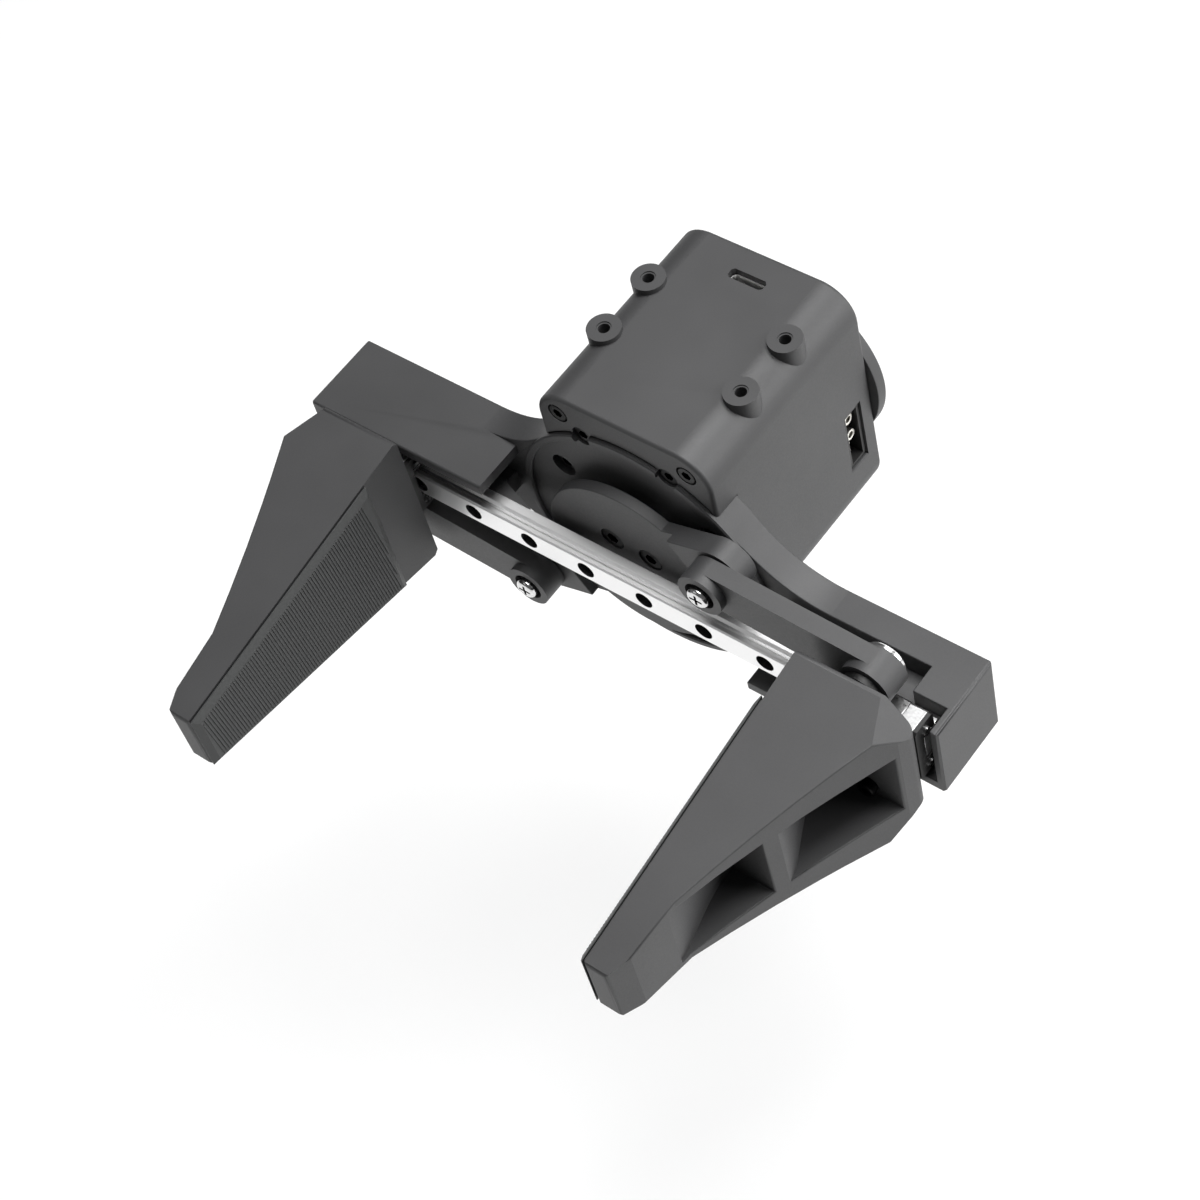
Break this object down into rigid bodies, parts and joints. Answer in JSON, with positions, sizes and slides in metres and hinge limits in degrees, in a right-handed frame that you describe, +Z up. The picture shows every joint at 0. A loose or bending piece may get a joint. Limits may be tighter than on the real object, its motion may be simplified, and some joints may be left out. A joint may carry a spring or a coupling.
{
  "type": "parallel robot gripper",
  "caption": "Parallel robot gripper: a geared motor turns a crank whose links slide opposed tapered fingers with ribbed pads along a miniature rail.",
  "frame": {"origin": "centre of the mounting flange's rear face", "axes": "+X along the rail, +Y out of the mounting flange so that the fingers point to -Y, +Z up towards the bosses"},
  "size_m": [0.1576, 0.139, 0.0707],
  "materials": {
    "anodised_body": "matte bead-blasted, dark grey anodised",
    "anodised_linkage": "matte dark grey anodised",
    "anodised_finger": "matte fine-grained dark grey anodised",
    "grip_rubber": "matte, finely ribbed",
    "ground_rail_steel": "ground and polished",
    "carriage_steel": "ground",
    "cap_plate": "satin plate",
    "seal_rubber": "moulded",
    "bright_steel": "bright nickel-plated",
    "bush_bronze": "turned bronze",
    "plain_steel": "turned",
    "black_screw": "black oxide",
    "board_laminate": "solder mask",
    "socket_steel": "stamped",
    "connector_nylon": "moulded",
    "contact_brass": "tin-plated"
  },
  "bodies": {
    "base": {"motor_housing": "anodised_body", "front_cover": "anodised_body", "front_cover_screws": "black_screw", "rear_cover": "anodised_body", "rear_cover_screws": "black_screw", "mounting_flange": "anodised_body", "flange_screws": "black_screw", "wing_bracket": "anodised_body", "bracket_screws": "black_screw", "rim_screws": "black_screw", "linear_rail": "ground_rail_steel", "rail_screws": "black_screw", "output_bearing": "plain_steel", "gear_motor": "plain_steel", "motor_screws": "black_screw", "control_board": "board_laminate", "board_posts": "plain_steel", "usb_socket": "socket_steel", "power_socket": "connector_nylon", "power_contacts": "contact_brass"},
    "crank": {"crank_disc": "anodised_linkage", "crank_screws": "black_screw", "output_hub": "plain_steel", "output_shaft": "plain_steel"},
    "right_jaw": {"right_carriage": "carriage_steel", "right_carriage_end_caps": "cap_plate", "right_carriage_seals": "seal_rubber", "right_carriage_cap_screws": "black_screw", "right_finger": "anodised_finger", "right_finger_pad": "grip_rubber", "right_finger_screws": "black_screw", "right_jaw_pin": "bright_steel", "right_jaw_pin_washer": "plain_steel"},
    "right_drive_link": {"right_link": "anodised_linkage", "right_link_bushes": "bush_bronze", "right_crank_pin_screw": "bright_steel"},
    "left_jaw": {"left_carriage": "carriage_steel", "left_carriage_end_caps": "cap_plate", "left_carriage_seals": "seal_rubber", "left_carriage_cap_screws": "black_screw", "left_finger": "anodised_finger", "left_finger_pad": "grip_rubber", "left_finger_screws": "black_screw", "left_jaw_pin": "bright_steel", "left_jaw_pin_washer": "plain_steel"},
    "left_drive_link": {"left_link": "anodised_linkage", "left_link_bushes": "bush_bronze", "left_crank_pin_screw": "bright_steel"}
  },
  "joints": [
    {"name": "crank_turn", "type": "hinge", "parent": "base", "child": "crank", "pos_m": [0, -0.05725, -0.0078], "axis": [0, -1, 0], "range_deg": [0, 101.7]},
    {"name": "right_jaw_slide", "type": "slide", "parent": "base", "child": "right_jaw", "axis": [-1, 0, 0], "range_m": [0, 0.04831]},
    {"name": "left_jaw_slide", "type": "slide", "parent": "base", "child": "left_jaw", "axis": [1, 0, 0], "range_m": [0, 0.04831]},
    {"name": "right_link_swing", "type": "hinge", "parent": "right_jaw", "child": "right_drive_link", "pos_m": [0.064, -0.064, 0.0068], "axis": [0, 1, 0], "range_deg": [0, 7.66]},
    {"name": "left_link_swing", "type": "hinge", "parent": "left_jaw", "child": "left_drive_link", "pos_m": [-0.064, -0.064, -0.0224], "axis": [0, 1, 0], "range_deg": [0, 7.66]}
  ],
  "couplings": [
    {"joint": "right_jaw_slide", "follows": "crank_turn", "m_per_rad": 0.027211},
    {"joint": "left_jaw_slide", "follows": "crank_turn", "m_per_rad": 0.027211},
    {"joint": "right_link_swing", "follows": "crank_turn", "ratio": 0.075192},
    {"joint": "left_link_swing", "follows": "crank_turn", "ratio": 0.075192}
  ]
}
